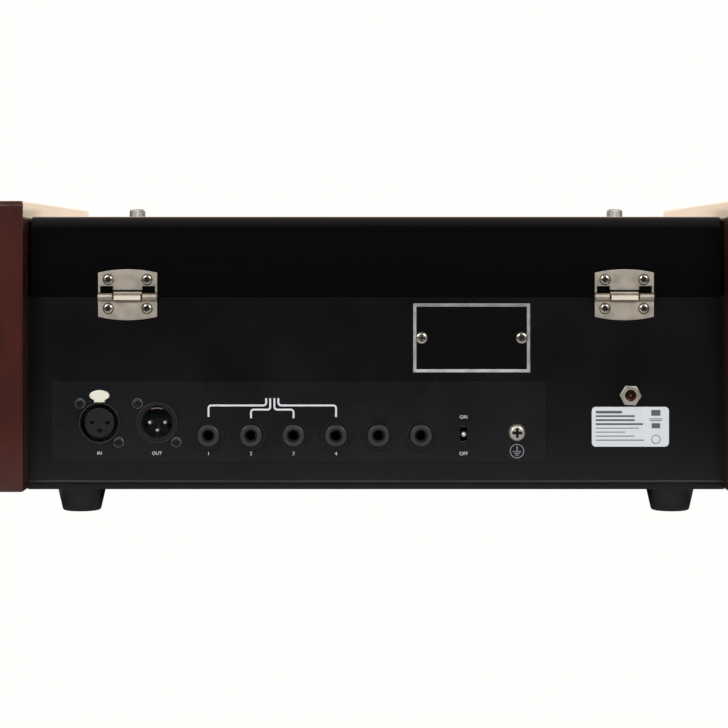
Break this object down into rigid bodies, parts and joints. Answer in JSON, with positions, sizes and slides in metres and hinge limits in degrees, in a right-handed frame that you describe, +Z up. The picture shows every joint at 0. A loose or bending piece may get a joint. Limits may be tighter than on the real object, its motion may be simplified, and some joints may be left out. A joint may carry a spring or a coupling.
{
  "type": "tape echo unit",
  "caption": "Desktop tape echo unit with wooden cheeks, hinged gloss lid over a tape loop deck, front controls and rear sockets.",
  "frame": {"origin": "centre of the overall box at the height of the table, under the feet", "axes": "+X along the unit, to the right when it is seen from behind; +Y from the rear to the front controls; +Z up"},
  "size_m": [0.45, 0.3, 0.184],
  "materials": {
    "cheek_wood": "stained and lacquered",
    "case_paint": "satin",
    "front_paint": "satin",
    "deck_paint": "fine textured satin",
    "foot_rubber": "matt",
    "plate_print": "satin",
    "socket_plastic": "matt moulded",
    "nut_plastic": "satin moulded",
    "latch_cream": "gloss",
    "pin_silver": "polished",
    "black_screw": "black oxide",
    "nickel": "bright nickel",
    "lever_tip": "bright",
    "name_black": "gloss with a bright frame",
    "label_white": "satin",
    "lid_gloss": "polished",
    "board_green": "lacquered circuit board",
    "motor_steel": "plated",
    "brass": "turned",
    "belt_rubber": "matt",
    "steel": "turned",
    "head_metal": "satin",
    "tape_oxide": "oxide",
    "tank_black": "fine matt",
    "clear": "clear",
    "meter_black": "gloss",
    "needle_red": "satin",
    "pot_steel": "plated",
    "knob_plastic": "satin",
    "lamp_red": "clear red"
  },
  "bodies": {
    "case": {"left_cheek": "cheek_wood", "right_cheek": "cheek_wood", "base_tray": "case_paint", "rear_panel": "case_paint", "front_panel": "front_paint", "jack_panel": "front_paint", "deck_plate": "deck_paint", "feet": "foot_rubber", "io_plate": "plate_print", "xlr_in_socket": "socket_plastic", "xlr_in_insert": "socket_plastic", "xlr_out_socket": "socket_plastic", "xlr_out_pins": "pin_silver", "xlr_screws": "black_screw", "jack_sockets": "socket_plastic", "jack_nuts": "nut_plastic", "earth_post": "nickel", "stop_switch_body": "socket_plastic", "dc_socket": "socket_plastic", "dc_nut": "nickel", "name_plate": "name_black", "rating_label": "label_white", "panel_screws": "nickel", "hinge_base_leaves": "nickel", "hinge_pins": "nickel", "circuit_board": "board_green", "motor_body": "motor_steel", "drive_belt": "belt_rubber", "capstan_bearing": "motor_steel", "head_block": "head_metal", "tape_heads": "head_metal", "tape_guides": "steel", "tape_loop": "tape_oxide", "tape_tank": "tank_black", "tank_cover": "clear", "meter_case": "meter_black", "meter_window": "clear", "control_pots": "pot_steel", "power_switch_body": "pot_steel", "pilot_lamp": "lamp_red"},
    "lid": {"lid_shell": "lid_gloss", "hinge_lid_leaves": "nickel", "hinge_lid_screws": "nickel", "lid_knobs": "nickel"},
    "mode_knob": {"mode_knob": "knob_plastic"},
    "power_lever": {"power_lever": "lever_tip"},
    "meter_needle": {"meter_needle": "needle_red"},
    "stop_lever": {"stop_lever": "lever_tip"},
    "xlr_latch": {"xlr_latch": "latch_cream"},
    "capstan": {"capstan": "steel"},
    "motor_pulley": {"motor_pulley": "brass"},
    "pinch_arm": {"pinch_arm": "steel"},
    "pinch_roller": {"pinch_roller": "belt_rubber"},
    "input_knob": {"input_knob": "knob_plastic"},
    "bass_knob": {"bass_knob": "knob_plastic"},
    "treble_knob": {"treble_knob": "knob_plastic"},
    "reverb_knob": {"reverb_knob": "knob_plastic"},
    "echo_knob": {"echo_knob": "knob_plastic"},
    "rate_knob": {"rate_knob": "knob_plastic"},
    "feedback_knob": {"feedback_knob": "knob_plastic"}
  },
  "joints": [
    {"name": "lid_hinge", "type": "hinge", "parent": "case", "child": "lid", "pos_m": [0, -0.1345, 0.12785], "axis": [1, 0, 0], "range_deg": [0, 95]},
    {"name": "mode_turn", "type": "hinge", "parent": "case", "child": "mode_knob", "pos_m": [0, 0.132, 0.0731], "axis": [0, -1, 0], "range_deg": [-150, 150]},
    {"name": "power_throw", "type": "hinge", "parent": "case", "child": "power_lever", "pos_m": [-0.18, 0.131, 0.0495], "axis": [1, 0, 0], "range_deg": [0, 24]},
    {"name": "needle_swing", "type": "hinge", "parent": "case", "child": "meter_needle", "pos_m": [0.092, 0.132, 0.0601], "axis": [0, -1, 0], "range_deg": [0, 90], "stiffness_Nm_per_rad": 0.0002},
    {"name": "stop_slide", "type": "slide", "parent": "case", "child": "stop_lever", "axis": [0, 0, 1], "range_m": [-0.0032, 0.0032]},
    {"name": "latch_press", "type": "slide", "parent": "case", "child": "xlr_latch", "axis": [0, 1, 0], "range_m": [0, 0.002], "stiffness_N_per_m": 400},
    {"name": "capstan_spin", "type": "hinge", "parent": "case", "child": "capstan", "pos_m": [0.085, 0.07955, 0.122], "axis": [0, 0, 1], "continuous": true},
    {"name": "motor_spin", "type": "hinge", "parent": "case", "child": "motor_pulley", "pos_m": [0.143, 0.05955, 0.122], "axis": [0, 0, 1], "continuous": true},
    {"name": "pinch_swing", "type": "hinge", "parent": "case", "child": "pinch_arm", "pos_m": [0.118, 0.10245, 0.122], "axis": [0, 0, -1], "range_deg": [0, 15]},
    {"name": "roller_spin", "type": "hinge", "parent": "pinch_arm", "child": "pinch_roller", "pos_m": [0.085, 0.09545, 0.122], "axis": [0, 0, 1], "continuous": true},
    {"name": "input_turn", "type": "hinge", "parent": "case", "child": "input_knob", "pos_m": [0.146, 0.132, 0.0731], "axis": [0, -1, 0], "range_deg": [-150, 150]},
    {"name": "bass_turn", "type": "hinge", "parent": "case", "child": "bass_knob", "pos_m": [-0.06, 0.132, 0.0975], "axis": [0, -1, 0], "range_deg": [-150, 150]},
    {"name": "treble_turn", "type": "hinge", "parent": "case", "child": "treble_knob", "pos_m": [-0.1, 0.132, 0.0975], "axis": [0, -1, 0], "range_deg": [-150, 150]},
    {"name": "reverb_turn", "type": "hinge", "parent": "case", "child": "reverb_knob", "pos_m": [-0.14, 0.132, 0.0975], "axis": [0, -1, 0], "range_deg": [-150, 150]},
    {"name": "echo_turn", "type": "hinge", "parent": "case", "child": "echo_knob", "pos_m": [-0.06, 0.132, 0.0495], "axis": [0, -1, 0], "range_deg": [-150, 150]},
    {"name": "rate_turn", "type": "hinge", "parent": "case", "child": "rate_knob", "pos_m": [-0.1, 0.132, 0.0495], "axis": [0, -1, 0], "range_deg": [-150, 150]},
    {"name": "feedback_turn", "type": "hinge", "parent": "case", "child": "feedback_knob", "pos_m": [-0.14, 0.132, 0.0495], "axis": [0, -1, 0], "range_deg": [-150, 150]}
  ],
  "couplings": [
    {"joint": "motor_spin", "follows": "capstan_spin", "ratio": 3.5},
    {"joint": "roller_spin", "follows": "capstan_spin", "ratio": -0.36364}
  ]
}
